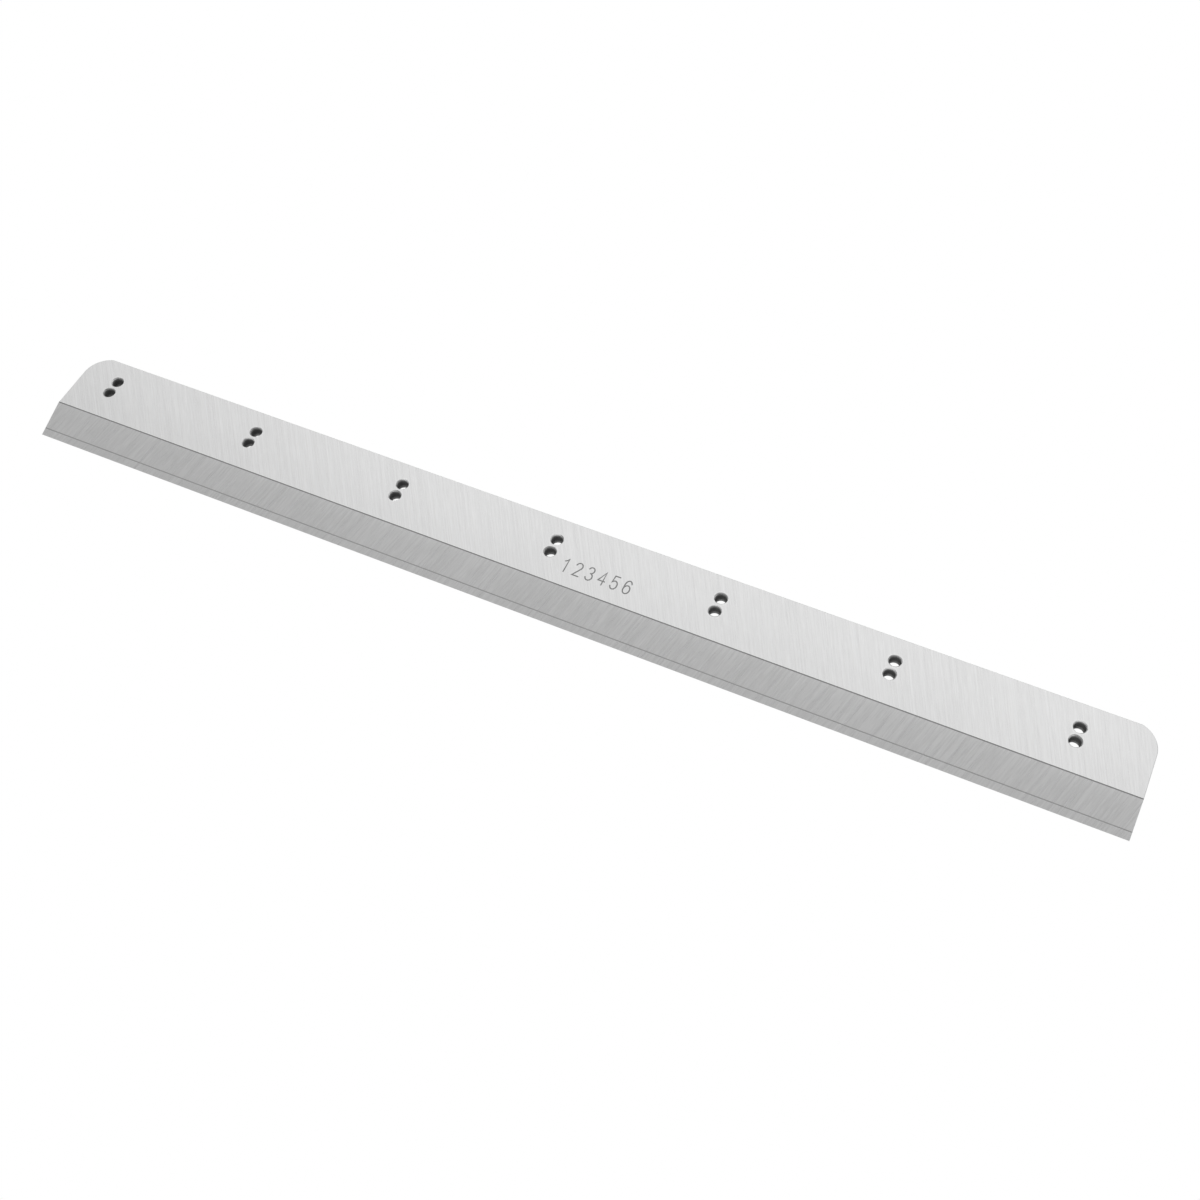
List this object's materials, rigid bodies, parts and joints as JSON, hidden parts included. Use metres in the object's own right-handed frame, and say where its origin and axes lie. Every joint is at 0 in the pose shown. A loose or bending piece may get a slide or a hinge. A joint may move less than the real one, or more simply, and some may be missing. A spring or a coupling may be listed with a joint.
{
  "type": "guillotine paper cutter blade",
  "caption": "Long straight guillotine knife with one ground bevel, an inlaid cutting strip, rounded back corners and pairs of tapped fixing holes.",
  "frame": {"origin": "centre of the flat underside, halfway along the length and halfway between the cutting edge and the back edge", "axes": "+X along the length, -Y towards the cutting edge, +Y towards the back edge, +Z out of the bevelled side, square to the flat faces"},
  "size_m": [0.85, 0.081, 0.0097],
  "materials": {
    "bar_steel": "surface-ground, fine brushed grain across the width",
    "edge_steel": "surface-ground, fine brushed grain across the width"
  },
  "bodies": {
    "root": {"backing_bar": "bar_steel", "hss_cutting_strip": "edge_steel"}
  },
  "joints": []
}
